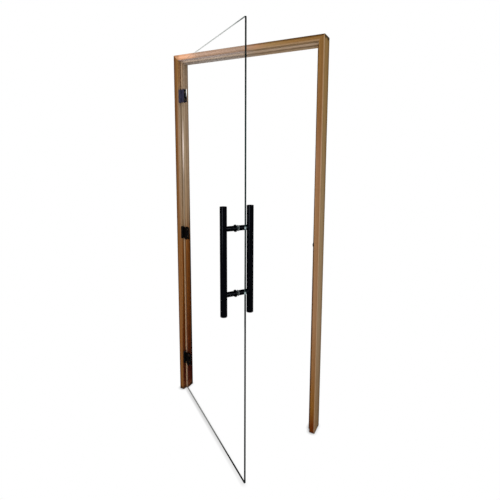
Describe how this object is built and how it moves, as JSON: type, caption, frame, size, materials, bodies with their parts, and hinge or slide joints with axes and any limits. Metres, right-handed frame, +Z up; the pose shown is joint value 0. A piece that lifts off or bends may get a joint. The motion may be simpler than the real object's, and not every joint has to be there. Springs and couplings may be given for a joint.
{
  "type": "glass door with frame",
  "caption": "Frameless clear glass door leaf on clamp hinges in a rebated timber frame, with a back-to-back tubular pull handle and a spring roller catch.",
  "frame": {"origin": "centre of the hinge jamb's foot, on the floor", "axes": "+X along the frame from the hinge jamb to the strike jamb, +Y from the front face to the back, +Z up; the door opens towards -Y"},
  "size_m": [0.915, 0.5744, 2.108],
  "materials": {
    "timber": "oiled, straight grain",
    "clear_glass": "clear, polished edge",
    "black_metal": "satin black coating",
    "steel": "blackened steel",
    "black_rubber": "matt",
    "black_nylon": "matt",
    "clear_plastic": "translucent"
  },
  "bodies": {
    "frame": {"hinge_jamb": "timber", "strike_jamb": "timber", "head_jamb": "timber", "corner_screws": "steel", "lower_hinge_leaf": "black_metal", "lower_leaf_screws": "steel", "lower_hinge_pin": "steel", "lower_thrust_washers": "black_nylon", "middle_hinge_leaf": "black_metal", "middle_leaf_screws": "steel", "middle_hinge_pin": "steel", "middle_thrust_washers": "black_nylon", "upper_hinge_leaf": "black_metal", "upper_leaf_screws": "steel", "upper_hinge_pin": "steel", "upper_thrust_washers": "black_nylon", "catch_plate": "black_metal", "catch_screws": "steel", "catch_housing": "black_metal", "catch_spring": "steel"},
    "door": {"glass_pane": "clear_glass", "lower_outer_plate": "black_metal", "lower_inner_plate": "black_metal", "lower_gaskets": "black_rubber", "lower_clamp_screws": "steel", "lower_clamp_bushes": "clear_plastic", "middle_outer_plate": "black_metal", "middle_inner_plate": "black_metal", "middle_gaskets": "black_rubber", "middle_clamp_screws": "steel", "middle_clamp_bushes": "clear_plastic", "upper_outer_plate": "black_metal", "upper_inner_plate": "black_metal", "upper_gaskets": "black_rubber", "upper_clamp_screws": "steel", "upper_clamp_bushes": "clear_plastic", "outer_grip": "black_metal", "outer_end_plugs": "black_metal", "inner_grip": "black_metal", "inner_end_plugs": "black_metal", "handle_collars": "black_metal", "handle_washers": "clear_plastic", "handle_bushes": "clear_plastic", "handle_studs": "steel"},
    "catch_slide": {"catch_plunger": "black_metal", "catch_axle": "steel"},
    "catch_wheel": {"catch_roller": "black_nylon"}
  },
  "joints": [
    {"name": "door_swing", "type": "hinge", "parent": "frame", "child": "door", "pos_m": [0.0185, -0.037, 0], "axis": [0, 0, -1], "range_deg": [-35.5, 74.5]},
    {"name": "catch_press", "type": "slide", "parent": "frame", "child": "catch_slide", "axis": [1, 0, 0], "range_m": [0, 0.005], "stiffness_N_per_m": 1200, "springref_m": -0.004, "deforming": ["catch_spring"]},
    {"name": "roller_spin", "type": "hinge", "parent": "catch_slide", "child": "catch_wheel", "pos_m": [0.86, -0.03125, 1.059], "axis": [0, 0, 1], "continuous": true}
  ]
}
